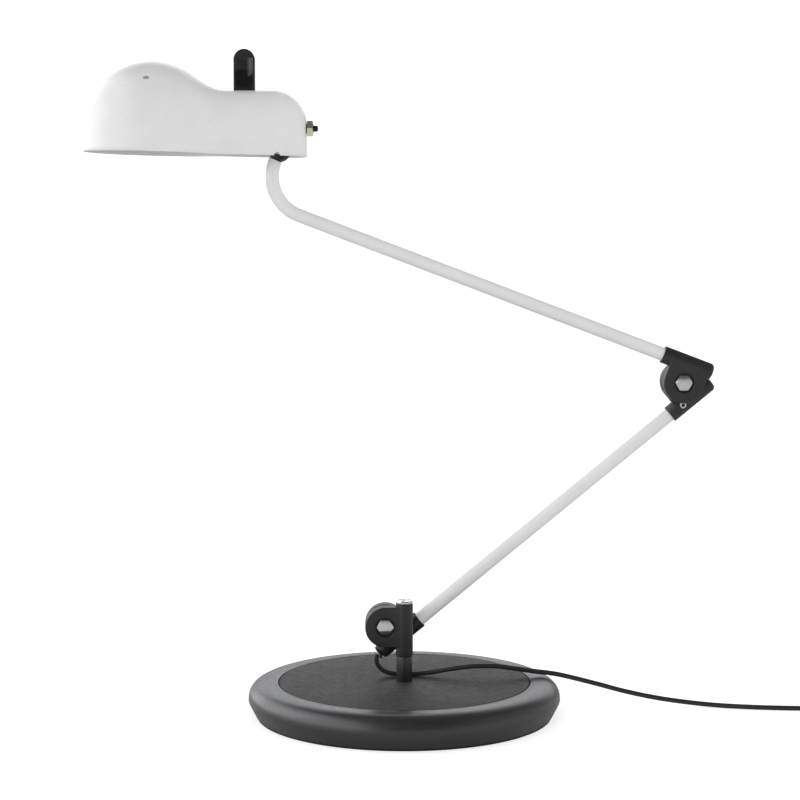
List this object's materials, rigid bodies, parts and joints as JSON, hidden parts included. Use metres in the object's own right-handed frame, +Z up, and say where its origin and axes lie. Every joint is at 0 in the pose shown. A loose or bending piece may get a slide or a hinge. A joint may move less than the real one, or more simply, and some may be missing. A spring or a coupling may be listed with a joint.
{
  "type": "desk lamp",
  "caption": "Architect desk lamp with a heavy round base, a swivel post, two hinged tube arms and a capsule shade with a thumb tab and push button.",
  "frame": {"origin": "centre of the base's underside, on the desk", "axes": "+Z up, along the post; +X towards the elbow; -Y towards the side that shows the bolt heads"},
  "size_m": [0.6896, 0.2306, 0.4879],
  "materials": {
    "white_enamel": "glossy enamel",
    "charcoal_paint": "satin textured paint",
    "cast_iron": "rough casting",
    "black_moulded": "fine moulded",
    "black_gloss": "gloss black",
    "gloss_plastic": "gloss",
    "chrome": "polished",
    "steel": "plain",
    "brass": "satin",
    "ceramic": "satin",
    "opal_glass": "opal",
    "rubber": "matte",
    "flex": "satin"
  },
  "bodies": {
    "base": {"base_ring": "charcoal_paint", "base_top_disc": "charcoal_paint", "base_weight": "cast_iron", "base_foot_pad": "rubber", "post": "black_gloss", "post_nut": "steel", "post_washer": "steel", "post_cap": "chrome", "power_cord": "flex", "cord_coil": "flex", "cord_tie": "black_moulded", "plug_cord": "flex", "plug_strain_relief": "rubber", "plug_body": "black_moulded", "plug_pin_near": "brass", "plug_pin_far": "brass"},
    "swivel": {"base_bracket": "black_moulded", "lower_pivot_bolt": "chrome", "lower_pivot_nut": "steel", "lower_pivot_washer": "black_moulded"},
    "lower_arm": {"lower_arm_foot_bracket": "black_moulded", "foot_set_screw": "chrome", "cord_gland": "steel", "lower_arm_tube": "white_enamel", "lower_arm_head_bracket": "black_moulded", "head_set_screw": "chrome"},
    "upper_arm": {"upper_arm_bracket": "black_moulded", "upper_set_screw": "chrome", "elbow_bolt": "chrome", "elbow_nut": "steel", "elbow_washer": "black_moulded", "upper_arm_tube": "white_enamel", "head_ball": "gloss_plastic"},
    "head_joint": {"head_socket": "brass", "trunnion_near": "steel", "trunnion_far": "steel"},
    "head": {"shade": "white_enamel", "handle": "gloss_plastic", "handle_screw": "steel", "head_fork": "steel", "fork_spacer": "steel", "holder_bracket": "steel", "lamp_holder": "ceramic", "bulb": "opal_glass", "switch_body": "gloss_plastic", "switch_nut": "brass"},
    "button": {"switch_button": "gloss_plastic"}
  },
  "joints": [
    {"name": "post_swivel", "type": "hinge", "parent": "base", "child": "swivel", "pos_m": [0, 0, 0.0656], "axis": [0, 0, 1], "range_deg": [-90, 90], "deforming": ["power_cord"]},
    {"name": "lower_hinge", "type": "hinge", "parent": "swivel", "child": "lower_arm", "pos_m": [-0.0141, 0.0131, 0.0656], "axis": [0, 1, 0], "range_deg": [-45, 20], "deforming": ["power_cord"]},
    {"name": "elbow_hinge", "type": "hinge", "parent": "lower_arm", "child": "upper_arm", "pos_m": [0.2048, 0, 0.2463], "axis": [0, 1, 0], "range_deg": [-15, 85]},
    {"name": "head_swivel", "type": "hinge", "parent": "upper_arm", "child": "head_joint", "pos_m": [-0.0904, 0, 0.4151], "axis": [0, 0, 1], "range_deg": [-90, 90]},
    {"name": "head_tilt", "type": "hinge", "parent": "head_joint", "child": "head", "pos_m": [-0.0904, 0, 0.4151], "axis": [0, -1, 0], "range_deg": [-35, 60]},
    {"name": "button_press", "type": "slide", "parent": "head", "child": "button", "axis": [-1, 0, 0], "range_m": [0, 0.0025], "stiffness_N_per_m": 250, "springref_m": -0.001}
  ]
}
